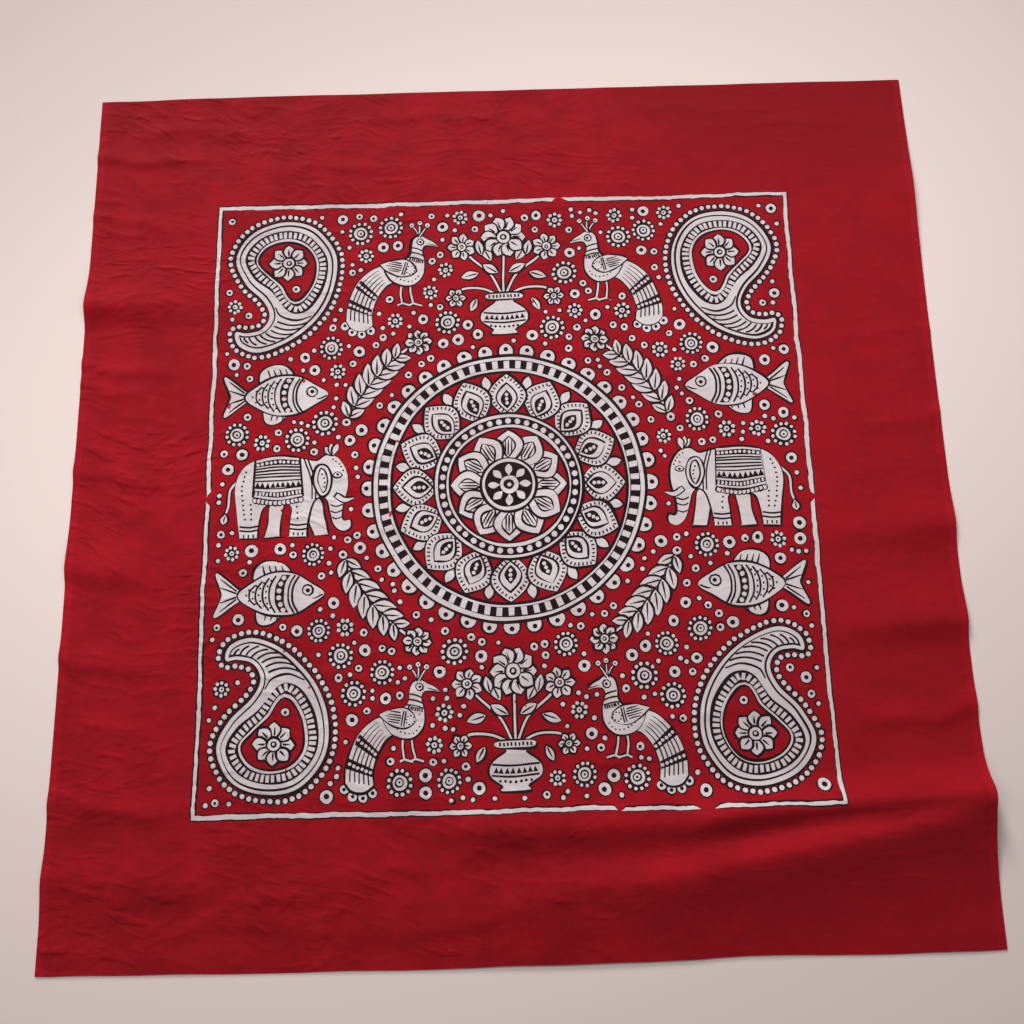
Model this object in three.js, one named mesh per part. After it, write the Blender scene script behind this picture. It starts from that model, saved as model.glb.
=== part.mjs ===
// A painted ceremonial cloth lying on a flat surface: one hand-woven cotton sheet with low folds.
// Units are millimetres and +Z is up. The origin is under the middle of the sheet, on the surface.
// +X runs to the right selvedge and +Y to the far edge. The painted face is the upper one.
import * as THREE from "three";

// Driving dimensions of the sheet as it was cut, before it was laid down
const clothWidth = 724; // from selvedge to selvedge
const clothLength = 736;
const clothThickness = 1.2;

// Fineness of the facets. Rows lie closer together at the near edge, where the folds are.
const columns = 31;
const rows = 46;
const nearRowBias = 0.22; // 0 spaces the rows evenly
const layStep = 2; // step along a thread, when its shortening over the folds is added up
const crestRound = 7; // radius to which the cloth bends over a crest

// The folds, one row each, on the flat cut. A crest runs from the point (fromX, fromY) to (toX, toY),
// bowed sideways by bow at its middle. It stands height above the surface, falls to it over farReach
// on its +Y side and nearReach on its -Y side, and sinks in over fadeFrom and fadeTo at its two ends.
// A fade of 0 is a crest that runs out over the edge of the sheet.
const foldColumns = [
  "name", "fromX", "fromY", "toX", "toY", "bow", "height", "farReach", "nearReach", "fadeFrom", "fadeTo",
];
const foldTable = [
  ["nearRightMound", -150, -332, 362, -262, -12, 5, 70, 82, 320, 0],
  ["nearRightRidge", -60, -327, 362, -262, -8, 6, 24, 74, 240, 0],
  ["panelFootSwell", -90, -270, 190, -268, 0, 5.6, 40, 28, 80, 50],
  ["panelCornerSwell", 120, -266, 362, -250, 0, 7, 30, 18, 60, 0],
  ["rightSwellLow", 226, -128, 362, -118, 2, 4.2, 40, 26, 90, 0],
  ["rightSwellHigh", 220, -47, 362, -39, -2, 3.4, 40, 30, 90, 0],
  ["rightEdgeLift", 312, 236, 362, 262, 0, 4.2, 110, 130, 50, 0],
  ["leftSwellHigh", -362, 168, -250, 160, 2, 6, 44, 26, 0, 76],
  ["leftSwellLow", -362, -60, -262, -74, -2, 3.5, 46, 20, 0, 70],
  ["nearLeftSwell", -362, -300, -190, -312, 2, 3.2, 34, 40, 0, 90],
];
const folds = foldTable.map((row) => Object.fromEntries(foldColumns.map((column, i) => [column, row[i]])));

// A smooth step from 0 at the end of a crest to 1 a length further in, or 1 throughout for a length of 0
function fade(distance, length) {
  return length > 0 ? THREE.MathUtils.smoothstep(distance, 0, length) : 1;
}

// A soft ridge: 1 on its rounded crest, steepest just beside it, and easing out to exactly 0 at its reach
function softRidge(offset, reach) {
  const slant = Math.hypot(Math.min(Math.abs(offset), reach), crestRound) - crestRound;
  const share = slant / (Math.hypot(reach, crestRound) - crestRound);
  return (1 - share) * (1 - share);
}

// Height of one fold over the point (x, y) of the flat cut
function foldHeight(fold, x, y) {
  const share = (x - fold.fromX) / (fold.toX - fold.fromX);
  const along = fade(x - fold.fromX, fold.fadeFrom) * fade(fold.toX - x, fold.fadeTo);
  const crestY = THREE.MathUtils.lerp(fold.fromY, fold.toY, share) + 4 * fold.bow * share * (1 - share);
  const offset = y - crestY;
  return fold.height * along * softRidge(offset, offset > 0 ? fold.farReach : fold.nearReach);
}

function heightAt(x, y) {
  return folds.reduce((sum, fold) => sum + foldHeight(fold, x, y), 0);
}

// Slope of the sheet along +Y
function slopeAt(x, y) {
  return (heightAt(x, y + layStep / 2) - heightAt(x, y - layStep / 2)) / layStep;
}

// Cloth doesn't stretch, so a thread that climbs over folds reaches less far across the surface.
// This adds up what the thread at x loses between the middle of the sheet and y.
function shortening(x, y) {
  const steps = Math.ceil(Math.abs(y) / layStep);
  let lost = 0;
  for (let i = 0; i < steps; i++) {
    const slope = slopeAt(x, (y * (i + 0.5)) / steps);
    lost += (1 - Math.cos(Math.atan(slope))) * (y / steps);
  }
  return lost;
}

// Where a point of the flat cut comes to lie, with layer measured up through the thickness
function laid(x, y, layer) {
  const tilt = Math.atan(slopeAt(x, y));
  return new THREE.Vector3(
    x,
    y - shortening(x, y) - layer * Math.sin(tilt),
    heightAt(x, y) + layer * Math.cos(tilt),
  );
}

// The even rows of the box, drawn towards the near edge
function biasedRow(y) {
  const share = y / (clothLength / 2);
  return (clothLength / 2) * (share - nearRowBias * (1 - share * share));
}

function makeCloth() {
  const geometry = new THREE.BoxGeometry(clothWidth, clothLength, clothThickness, columns, rows, 1);
  const points = geometry.getAttribute("position");
  for (let i = 0; i < points.count; i++) {
    const layer = points.getZ(i) + clothThickness / 2;
    const place = laid(points.getX(i), biasedRow(points.getY(i)), layer);
    points.setXYZ(i, place.x, place.y, place.z);
  }
  geometry.computeVertexNormals();
  const dyedCotton = new THREE.MeshStandardMaterial({ color: 0x97191f, roughness: 0.9, metalness: 0 });
  const cloth = new THREE.Mesh(geometry, dyedCotton);
  cloth.name = "cloth";
  return cloth;
}

const part = new THREE.Group();
part.add(makeCloth());

export default part;
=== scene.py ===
import bpy
import numpy as np
from mathutils import Matrix, Quaternion, Vector
from mathutils.geometry import delaunay_2d_cdt


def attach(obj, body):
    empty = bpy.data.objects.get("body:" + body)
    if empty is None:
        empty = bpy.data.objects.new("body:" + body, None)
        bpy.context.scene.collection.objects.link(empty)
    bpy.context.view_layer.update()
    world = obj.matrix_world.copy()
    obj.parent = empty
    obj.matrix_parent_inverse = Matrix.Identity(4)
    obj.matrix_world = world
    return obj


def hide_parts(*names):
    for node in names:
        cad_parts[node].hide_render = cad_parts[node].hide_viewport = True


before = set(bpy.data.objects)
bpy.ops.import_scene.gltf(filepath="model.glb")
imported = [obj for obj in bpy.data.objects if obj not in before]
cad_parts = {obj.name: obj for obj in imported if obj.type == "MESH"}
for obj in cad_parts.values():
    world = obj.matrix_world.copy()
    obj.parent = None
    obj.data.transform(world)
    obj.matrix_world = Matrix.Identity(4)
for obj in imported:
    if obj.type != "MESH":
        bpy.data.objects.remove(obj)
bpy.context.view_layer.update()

# The cloth is worked out in mm on its flat cut: x to the right selvedge, y to the far edge.
# Points of the painting are complex numbers, x + iy, so that turning a shape is one product.
mm = 0.001
rng = np.random.default_rng(23)
red, white, black = 0, 1, 2  # the inks, which are also the sheet's material slots

cloth = {
    "width": 724,
    "length": 736,
    "thickness": 0.8,
    "edgeRound": 1.6,  # the cloth thins to its edge over this
    "edgeShare": 0.35,  # of the thickness is left at the very edge
    "edgeStep": 0.5,  # mesh points follow the edge this far in
    "edgeWander": 0.7,  # how far a hand-cut edge strays from straight
    "selvedgeWander": 0.4,  # a woven edge strays this share of that
    "marginStep": 4.4,  # spacing of mesh points on the plain red
    "panelStep": 6.0,  # and between the painted outlines
    "outlineGap": 1.6,  # which they keep clear of
    "gridGap": 2,  # left free of them along the edge and round the panel
    "backStep": 12,
    "backInset": 8,
    "layStep": 2.0,  # spacing at which the length lost over folds is added up
    "foldRound": 7,  # radius to which the cloth bends over a fold, and over a small crease
    "creaseRound": 3,
    "creaseWander": (2.4, 1.3),  # slow and quick sideways wander of the small creases
}

# One row a fold: crest from (x0, y0) to (x1, y1), sideways bow, height, reach on its far and near side,
# and how far it sinks in at each end. These are the folds of the solid.
folds = (
    (-150, -332, 362, -262, -12, 5, 70, 82, 320, 0),  # broad mound at the near right, and its ridge
    (-60, -327, 362, -262, -8, 6, 24, 74, 240, 0),
    (-90, -270, 190, -268, 0, 5.6, 40, 28, 80, 50),  # swells along the foot of the panel and at its corner
    (120, -266, 362, -250, 0, 7, 30, 18, 60, 0),
    (226, -128, 362, -118, 2, 4.2, 40, 26, 90, 0),  # two swells in the right margin
    (220, -47, 362, -39, -2, 3.4, 40, 30, 90, 0),
    (312, 236, 362, 262, 0, 4.2, 110, 130, 50, 0),  # lifted right edge
    (-362, 168, -250, 160, 2, 6, 44, 26, 0, 76),  # two swells in the left margin
    (-362, -60, -262, -74, -2, 3.5, 46, 20, 0, 70),
    (-362, -300, -190, -312, 2, 3.2, 34, 40, 0, 90),  # low swell at the near left
)

# Soft creases too low for the solid, in the same columns
creases = (
    (-350, 334, -170, 326, 3, 1.0, 11, 9, 60, 70),
    (-250, 300, -40, 292, -3, 1.1, 12, 10, 70, 90),
    (-362, 310, -240, 298, 2, 1.5, 14, 10, 0, 60),
    (-180, 342, 60, 336, 3, 0.6, 10, 9, 80, 80),
    (-90, 312, 130, 306, -2, 0.6, 11, 10, 70, 80),
    (60, 344, 270, 338, 3, 0.5, 11, 10, 70, 70),
    (-362, 250, -262, 236, 2, 1.1, 12, 10, 0, 50),
    (-362, 116, -258, 100, -2, 1.4, 13, 10, 0, 44),
    (-362, 96, -280, 76, 2, 0.8, 10, 9, 0, 40),
    (-362, 18, -262, 4, 2, 1.9, 20, 11, 0, 44),
    (-362, -132, -266, -148, -2, 2.0, 22, 12, 0, 46),
    (-350, -180, -268, -200, 2, 0.8, 11, 10, 30, 40),
    (-362, -246, -220, -258, 2, 1.8, 22, 16, 0, 60),
    (-330, -342, -150, -334, 3, 0.9, 14, 13, 60, 70),
    (-180, -304, 10, -286, -2, 0.9, 13, 12, 60, 70),
    (-240, -326, -70, -302, 2, 0.9, 14, 13, 60, 60),
    (-110, -348, 30, -328, 2, 1.0, 14, 13, 60, 60),
    (262, 120, 362, 126, 2, 0.6, 12, 11, 50, 0),
    (268, 44, 362, 52, -2, 0.7, 12, 11, 40, 0),
    (258, -196, 362, -188, -2, 1.8, 22, 16, 40, 0),
    (150, 330, 330, 322, 2, 0.5, 11, 10, 60, 60),
    (-200, 64, -60, 58, 2, 0.6, 10, 9, 50, 50),
    (-40, -30, 120, -40, -3, 0.7, 10, 9, 60, 60),
    (40, 150, 190, 146, 2, 0.6, 10, 9, 50, 60),
    (-180, -150, -30, -158, 2, 0.7, 10, 9, 50, 50),
    (70, -190, 220, -182, -2, 0.8, 11, 10, 50, 60),
)


def smoothStep(share):
    share = np.clip(share, 0, 1)
    return share * share * (3 - 2 * share)


# Height of rows of folds over points of the flat cut. Across its crest each is (1 - s)^2, where s grows
# from 0 to 1 at its reach along a rounded slant, sqrt(offset^2 + round^2) - round. It steps in smoothly
# at each end.
def foldHeights(rows, crestRound, x, y):
    total = np.zeros_like(x)
    for x0, y0, x1, y1, bow, height, far, near, fade0, fade1 in rows:
        share = (x - x0) / (x1 - x0)
        offset = y - (y0 + (y1 - y0) * share + 4 * bow * share * (1 - share))
        reach = np.where(offset > 0, far, near)
        slant = np.hypot(np.minimum(np.abs(offset), reach), crestRound) - crestRound
        s = slant / (np.hypot(reach, crestRound) - crestRound)
        ends = smoothStep((x - x0) / fade0) if fade0 else 1.0
        ends = ends * smoothStep((x1 - x) / fade1) if fade1 else ends
        total += height * ends * (1 - s) ** 2
    return total


# Folds and small creases together. The creases wander by two sines along their length.
def heights(x, y):
    slow, quick = cloth["creaseWander"]
    strayed = y + slow * np.sin(x / 17 + y / 40) + quick * np.sin(x / 7.3 - y / 29)
    low = foldHeights(creases, cloth["creaseRound"], x, strayed)
    return foldHeights(folds, cloth["foldRound"], x, y) + low


# Where points of the flat cut come to lie, in mm, and the cloth's normals there. A thread that climbs over
# folds reaches less far, so each point is drawn towards the middle by the length its thread has lost. That
# is added up on a grid, along y from the middle row, and read off between the grid's points.
def layCloth(x, y, layer):
    step = cloth["layStep"]
    spare = 4  # the grid runs on past the edges
    gx = np.arange(-cloth["width"] / 2 - spare, cloth["width"] / 2 + spare + 1, step)
    gy = np.arange(-cloth["length"] / 2 - spare, cloth["length"] / 2 + spare + 1, step)
    gridX, gridY = np.meshgrid(gx, gy, indexing="ij")
    slope = np.gradient(foldHeights(folds, cloth["foldRound"], gridX, gridY), step, axis=1)
    lost = np.cumsum(1 - 1 / np.sqrt(1 + slope * slope), axis=1) * step
    lost -= lost[:, [len(gy) // 2]]
    column = np.clip((x - gx[0]) / step, 0, len(gx) - 1.001)
    line = np.clip((y - gy[0]) / step, 0, len(gy) - 1.001)
    i, j = column.astype(int), line.astype(int)
    u, v = column - i, line - j
    shift = ((lost[i, j] * (1 - u) + lost[i + 1, j] * u) * (1 - v)
             + (lost[i, j + 1] * (1 - u) + lost[i + 1, j + 1] * u) * v)
    small = 0.5  # the normals come from the slopes over this much
    slopeX = (heights(x + small, y) - heights(x - small, y)) / (2 * small)
    slopeY = (heights(x, y + small) - heights(x, y - small)) / (2 * small)
    normal = np.stack([-slopeX, -slopeY, np.ones_like(x)], axis=1)
    normal /= np.linalg.norm(normal, axis=1, keepdims=True)
    place = np.stack([x, y - shift, heights(x, y)], axis=1)
    return place + normal * np.reshape(layer, (-1, 1)), normal


# Pen and brush: closed outlines as complex arrays, and marks, which are lists of (ink, outline)

pen = {
    "line": 1.78,  # a bamboo pen's usual line
    "fine": 1.5,  # the lines inside a shape
    "thin": 1.22,  # round beads and rings
    "stem": 1.9,  # the white of a stalk or leg between its two lines
    "leastHalf": 0.12,  # half the width of a stroke's finest tip
    "pointSpacing": 2.4,  # points on a curve are about this far apart
    "fewestPoints": 4,
    "drift": 0.5,  # slow sideways drift of the arm
    "waver": 0.14,  # unsteadiness round one outline
    "waverMost": 0.14,  # the same as a share of the mark's breadth, where that is less
    "shake": 0.15,  # each mark's own small misplacement
}


# A circle: centre + radius * e^(it)
def circle(radius, centre=0, count=None):
    count = count or int(np.clip(2 * np.pi * radius / pen["pointSpacing"], 8, 150))
    return centre + radius * np.exp(2j * np.pi * (np.arange(count) + 0.25) / count)


# Points at shares of a path's length, by interpolating on its summed length
def along(path, shares):
    path = np.asarray(path, complex)
    length = np.concatenate([[0], np.cumsum(np.abs(np.diff(path)))])
    at = np.clip(shares, 0, 1) * length[-1]
    return np.interp(at, length, path.real) + 1j * np.interp(at, length, path.imag)


# A path with its points spaced afresh
def evenly(path, spacing=None):
    total = np.abs(np.diff(path)).sum()
    count = int(round(total / (spacing or pen["pointSpacing"]))) + 1
    return along(path, np.linspace(0, 1, max(pen["fewestPoints"], count)))


# A smooth curve through given knots, by a Catmull-Rom spline on each span from b to c:
# 0.5 * (2b + (c - a)t + (2a - 5b + 4c - d)t^2 + (3b - a - 3c + d)t^3)
def thread(knots, spacing=None, closed=False):
    knots = np.array([complex(*knot) for knot in knots])
    if closed:
        knots = np.concatenate([knots[-1:], knots, knots[:2]])
    else:
        knots = np.concatenate([2 * knots[:1] - knots[1:2], knots, 2 * knots[-1:] - knots[-2:-1]])
    a, b, c, d = knots[:-3, None], knots[1:-2, None], knots[2:-1, None], knots[3:, None]
    t = np.linspace(0, 1, 12, endpoint=False)[None, :]
    square, cube = 2 * a - 5 * b + 4 * c - d, 3 * b - a - 3 * c + d
    curve = 0.5 * (2 * b + (c - a) * t + square * t**2 + cube * t**3)
    path = evenly(np.append(curve.ravel(), knots[-2]), spacing)
    return path[:-1] if closed else path


def loop(knots, spacing=None):
    return thread(knots, spacing, closed=True)


# A petal along +X, whose half-width is width / 2 * sin(pi * t^fullness)^0.9: pointed at its tip
def petal(length, width, fullness=1.3, start=0.0):
    t = np.linspace(0, 1, int(np.clip(length / pen["pointSpacing"], 7, 20)))
    side = start + length * t + 1j * width / 2 * np.sin(np.pi * t**fullness) ** 0.9
    return np.concatenate([np.conj(side), side[-2:0:-1]])


# A stroke's outline: its path moved half the width to each side, along the path's own normal
def brush(path, width, head=1.0, tail=1.0):
    path = np.asarray(path, complex)
    ahead = np.gradient(path)
    share = np.linspace(0, 1, len(path))
    half = width / 2 * np.interp(share, (0, 0.5, 1), (head, 1, tail))
    side = 1j * ahead / np.abs(ahead) * np.maximum(half, pen["leastHalf"])
    return np.concatenate([path - side, (path + side)[::-1]])


# A pen line along a path, a straight one between two points, and a curved one through given knots
def inkLine(path, width=pen["fine"], head=1.0, tail=1.0):
    return (black, brush(path, width, head, tail))


def dash(start, end, head=1.0, tail=1.0, width=pen["fine"]):
    return inkLine(np.linspace(start, end, 6), width, head, tail)


def penLine(knots, width=pen["line"], head=1.0, tail=1.0):
    return inkLine(thread(knots), width, head, tail)


# An outline moved out along its own normal, or in where by is negative
def grown(outline, by):
    ahead = np.roll(outline, -1) - np.roll(outline, 1)
    turning = (np.conj(outline) * np.roll(outline, -1)).imag.sum()
    return outline - np.sign(turning) * 1j * ahead / np.maximum(np.abs(ahead), 1e-9) * by


# A white shape with its dark outline round it
def inked(outline, edge=pen["line"]):
    return [(black, grown(outline, edge)), (white, outline)]


# A stalk or leg: a dark stroke with a white one over it
def stalks(paths, wide=pen["stem"]):
    dark = [inkLine(path, wide + 2 * pen["fine"]) for path in paths]
    return dark + [(white, brush(path, wide)) for path in paths]


# at + size * e^(i turn) * z, with z mirrored left to right first where flip is set
def moved(marks, at=0, turn=0, size=1, flip=False):
    spin = size * np.exp(1j * np.radians(turn))
    return [(ink, at + spin * (-np.conj(z) if flip else z)) for ink, z in marks]


# Copies turned evenly about the origin
def ring(marks, count, offset=0):
    turns = 360 * (np.arange(count) + offset) / count
    return [mark for turn in turns for mark in moved(marks, turn=turn)]


# Copies spaced evenly along a path, each turned to the path's direction
def row(marks, path, count, start=0.5):
    shares = np.clip((np.arange(count) + start) / count, 0.002, 0.998)
    at = along(path, shares)
    reach = 0.01  # the direction is taken over this share of the path to each side
    ahead = along(path, shares + reach) - along(path, shares - reach)
    ahead /= np.abs(ahead)
    return [(ink, place + turn * z) for place, turn in zip(at, ahead) for ink, z in marks]


# A row of small dots along a path
def dots(path, count, radius=1.0):
    return row([(black, circle(radius, 0, 6))], path, count)


# A closed outline as a path that comes back to its start
def closedPath(path):
    return np.append(path, path[:1])


# A small block or tooth that stands across a path
def block(width, height, lift=0.0):
    low, high = np.array([-width, width]) - 1j * height, np.array([width, -width]) + 1j * height
    return np.append(low, high) / 2 + 1j * lift


def tooth(width, height):
    return np.array([-width - 1j * height, width - 1j * height, 1j * height]) / 2


# Bowed lines from one side of a shape to the other, at even shares of both sides
def stripes(left, right, count, width, bow):
    shares = (np.arange(count) + 0.5) / count
    t = np.linspace(0, 1, 7)
    marks = []
    for a, b in zip(along(left, shares), along(right, shares)):
        marks.append(inkLine(a + (b - a) * (t + 4j * bow * t * (1 - t)), width))
    return marks


# The area between two paths that run the same way
def between(near, far):
    return np.concatenate([near, far[::-1]])


# The small motifs that fill the red between the large ones

def bead(radius):
    return inked(circle(radius), pen["thin"])


def ringDot(radius):
    return bead(radius) + [(black, circle(radius * 0.44))]


def rosette(radius):
    beads = ring([(white, circle(radius * 0.21, radius * 0.72, 8))], 8)
    heart = [(white, circle(radius * 0.3, 0, 9)), (black, circle(radius * 0.12, 0, 6))]
    return [(black, circle(radius))] + beads + heart


def beadedRosette(radius):
    beads = ring(inked(circle(radius * 0.14, radius * 0.87, 8), pen["thin"]), 12)
    heart = [(black, circle(radius * 0.7)), (white, circle(radius * 0.56)), (black, circle(radius * 0.38))]
    return beads + heart + [(white, circle(radius * 0.25, 0, 10)), (black, circle(radius * 0.1, 0, 6))]


# An open flower seen from above
def flower(radius, petals=8):
    one = petal(radius * 0.72, radius * 0.56, 1.15, radius * 0.26)
    vein = dash(radius * 0.42, radius * 0.78, 1, 0.3)
    heart = inked(circle(radius * 0.28))
    heart += [(black, circle(radius * 0.16)), (white, circle(radius * 0.07, 0, 8))]
    return ring(inked(one) + [vein], petals) + heart


def leaf(length, width):
    return inked(petal(length, width, 1.0)) + [dash(length * 0.1, length * 0.8, 1, 0.3)]


# The round lotus in the middle of the panel: rings of petals between bands of teeth and beads
def lotusRound(size):
    def hoops(*bands):
        return [(ink, circle(radius * size)) for radius, ink in bands]

    marks = ring(inked(circle(0.052 * size, 0.985 * size, 12), pen["fine"]), 40)
    marks += ring([(black, circle(0.018 * size, 1.0 * size, 6))], 40)
    marks += hoops((0.965, black), (0.945, white), (0.92, black))
    marks += ring([(white, block(4.6, 0.058 * size, 0.885 * size))], 66)
    marks += hoops((0.855, white), (0.838, black), (0.82, red))
    bud = petal(0.13 * size, 0.06 * size, 1.4, 0.68 * size)
    outer = petal(0.315 * size, 0.262 * size, 1.0, 0.5 * size)
    echo = petal(0.225 * size, 0.168 * size, 1.0, 0.53 * size)
    core = petal(0.135 * size, 0.088 * size, 1.0, 0.56 * size)
    seeds = [(white, circle(0.014 * size, (0.6 + 0.03 * i) * size, 6)) for i in range(3)]
    inlay = [(black, echo), (white, grown(echo, -pen["fine"])), (black, core)] + seeds
    inlay += row([(black, block(1.3, 2.6))], closedPath(grown(outer, -2.2)), 26)
    marks += ring(inked(bud), 16, 0.5) + ring(inked(outer) + inlay, 16)
    marks += hoops((0.535, black), (0.517, white), (0.498, black))
    marks += ring([(white, circle(0.021 * size, 0.466 * size, 9))], 44)
    marks += hoops((0.437, white), (0.42, black), (0.403, red))
    inner = petal(0.26 * size, 0.205 * size, 1.15, 0.14 * size)
    innerEcho = petal(0.17 * size, 0.115 * size, 1.15, 0.19 * size)
    veins = [dash((0.22 + 0.022j * k) * size, (0.33 + 0.022j * k) * size, 0.8, 0.4) for k in (-1, 0, 1)]
    marks += ring(inked(inner) + [(black, innerEcho), (white, grown(innerEcho, -pen["fine"]))] + veins, 12)
    marks += hoops((0.203, black), (0.186, white), (0.165, black))
    marks += ring([(white, petal(0.085 * size, 0.05 * size, 1.2, 0.065 * size))], 8)
    return marks + hoops((0.062, white), (0.036, black), (0.014, white))


# A bent teardrop, about 118 high, with a beaded rim, a band of blocks and a red heart with a flower
def paisley():
    outer = loop([(0, -42), (24, -36), (40, -13), (39, 17), (25, 43), (4, 61), (-19, 69), (-35, 63),
                  (-38, 52), (-29, 53), (-17, 50), (-11, 39), (-17, 25), (-32, 9), (-40, -12), (-26, -34)])
    band = loop([(0, -35), (19, -30), (33, -11), (32, 14), (20, 33), (9, 38), (1, 34.5), (-5, 26),
                 (-12, 17), (-26, 5), (-33, -12), (-21, -29)])
    heart = loop([(0, -24), (14, -20), (22.5, -8), (21.5, 9), (14, 22), (7.5, 26), (3, 21), (-1.5, 12),
                  (-13, 1), (-21, -9), (-14, -20)])
    middle = loop([(10, 34), (18, 28), (27.6, 11.5), (29.2, -9.5), (17.5, -26.5), (0, -31), (-18, -26),
                   (-28.6, -11.5), (-21.5, 2.6), (-8.6, 14.4), (-2.4, 25), (3, 31.5)])
    marks = row(bead(1.9), closedPath(grown(outer, 4.6)), 70)
    marks += inked(outer) + [(black, grown(outer, -2.6)), (white, grown(outer, -2.6 - pen["fine"]))]
    marks += [(black, band)] + row([(white, block(2.5, 5))], closedPath(middle), 47)
    marks += [(white, grown(heart, 3.4)), (black, grown(heart, pen["line"])), (red, heart)]
    marks += moved(flower(15.6, 8), 2 - 6.4j) + moved(ringDot(3), 9 + 16.6j)
    back = thread([(21, 43), (4, 56.5), (-17, 63.5), (-31, 59.5)])
    front = thread([(-4.5, 42), (-11, 51.5), (-24, 56.5), (-33.5, 56.5)])
    marks += [penLine([(21, 40), (9, 43.5), (-3, 39.5), (-7.5, 32)], pen["line"], 0.6, 0.6)]
    marks += stripes(back, front, 8, pen["fine"], -0.12)
    return marks


# A crested bird that faces right, about 95 wide and 120 high, with a long drooping tail
def crestedBird():
    tailLeft = thread([(-6, 10), (-26, 4), (-44, -14), (-54, -40), (-55, -58)])
    tailRight = thread([(0, -10), (-12, -16), (-22, -30), (-27, -48), (-26, -62)])
    tailEnd = thread([(-55, -58), (-48, -66), (-36, -68), (-26, -62)])
    tail = np.concatenate([tailLeft, tailEnd[1:-1], tailRight[::-1]])
    marks = row(inked(circle(4.6, -4.2j), pen["fine"]) + [(black, circle(2.0, -4.4j))], tailEnd, 4)
    marks += row(inked(circle(2.1, 4.0j), pen["thin"]), tailLeft, 14, 0.9) + inked(tail)
    shares = np.linspace(0.2, 0.98, 24)
    for part in (0.16, 0.33, 0.5, 0.67, 0.84):
        rib = along(tailLeft, shares) * (1 - part) + along(tailRight, shares) * part
        marks.append(inkLine(rib, pen["fine"], 0.5, 1))
    for low, high in ((0.44, 0.56), (0.73, 0.85)):
        left, right = [along(side, np.linspace(low, high, 5)) for side in (tailLeft, tailRight)]
        marks.append((black, between(left, right)))
        marks += row([(white, circle(1.8, 0, 8))], np.linspace(left[2], right[2], 8), 6)

    legs = [thread([(5, -14), (4, -24), (6, -36)], 4), thread([(14, -14), (15, -24), (18, -36)], 4)]
    toes = [(leg[-1], leg[-1] + step) for leg in legs for step in (9 - 2.5j, -5 - 2.4j)]
    marks += stalks(legs + [np.linspace(a, b, 4) for a, b in toes])
    body = loop([(-15, 8), (-8, -8), (4, -15), (17, -14), (27, -3), (28, 12), (25, 26), (28, 33),
                 (36, 33.5), (43, 32), (43, 33), (37, 38), (31, 41), (24, 45), (16, 42), (13, 33),
                 (12, 22), (6, 15), (-4, 13)])
    marks += inked(body) + inked(circle(3.3, 23 + 37.5j), pen["fine"])
    marks += [(black, circle(1.6, 23.4 + 37.5j)), dash(31 + 36j, 42 + 33j, 0.6, 0.8, pen["thin"])]
    nape = thread([(13.4, 33), (12, 24), (8, 16)])
    throat = thread([(25.4, 29), (26, 22), (27.6, 12)])
    marks += stripes(nape, throat, 3, pen["line"], 0.06)
    marks += row([(black, block(1.7, 3.8))], thread([(11, 17), (19, 14), (27, 13)]), 7)
    marks += dots(thread([(-6, -2), (4, -9), (16, -10), (24, -2)]), 8)
    feathers = [dash(15 + abs(k) + 2.7j * k, 33 - 2 * abs(k) + 2.7j * k, 1, 0.5) for k in range(-2, 3)]
    bars = [dash(x - 8j, x + 8j) for x in (11.4, 13.9)]
    shoulder = ring([(black, circle(1.0, 4.6, 6))], 8)
    marks += moved(inked(petal(40, 19, 0.75)) + bars + feathers + moved(shoulder, 5.6), 19 + 2j, 168)
    for x, y in ((13, 58), (22, 61), (31, 58)):
        marks += stalks([thread([(22, 44), ((22 + x) / 2 + 0.5, 52), (x, y)], 3)], pen["thin"])
        marks += moved(inked(circle(2.7), pen["fine"]) + [(black, circle(1.0, 0, 6))], complex(x, y))
    return marks


# A pot with one tall and four side stems, about 112 high
def flowerPot():
    stems = [[(0, -14), (0, 10), (0, 34)]]
    for side in (1, -1):
        stems += [[(2 * side, -14), (12 * side, 6), (30 * side, 22), (38 * side, 30)]]
        stems += [[(4 * side, -15), (20 * side, -8), (38 * side, -8), (44 * side, -14)]]
    marks = stalks([thread(knots, 4) for knots in stems])
    leaves = ((12 + 20j, 62, 19), (5 + 8j, 30, 17), (24 + 8j, -18, 17), (21 + 26j, 78, 15),
              (9 + 34j, 40, 14), (26 - 18j, -62, 14))
    for flip in (False, True):
        for at, turn, size in leaves:
            marks += moved(moved(leaf(size, size * 0.46), at, turn), flip=flip)
        marks += moved(moved(flower(13.5, 7), 40 + 34j) + moved(flower(9.5, 6), 46 - 17j), flip=flip)
    marks += moved(flower(21, 10), 44j)
    right = [(9, -19), (8, -22), (20, -31), (21, -41), (10, -50), (12, -54)]
    marks += inked(loop(right + [(-x, y) for x, y in right[::-1]]))
    marks += inked(loop([(-16, -18), (-16, -14), (0, -13.4), (16, -14), (16, -18), (0, -19)]))
    marks += row([(black, block(1.7, 3.2))], np.array([-15 - 16j, 15 - 16j]), 9)
    for y in (-32, -41):
        marks.append(penLine([(-20, y), (0, y - 1.6), (20, y)]))
    marks += row([(black, tooth(4.6, 5))], thread([(-19, -36.3), (0, -37.8), (19, -36.3)]), 8)
    return marks + row([(black, circle(1.3, 0, 7))], thread([(-15, -45.4), (0, -46.8), (15, -45.4)]), 7)


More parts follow.
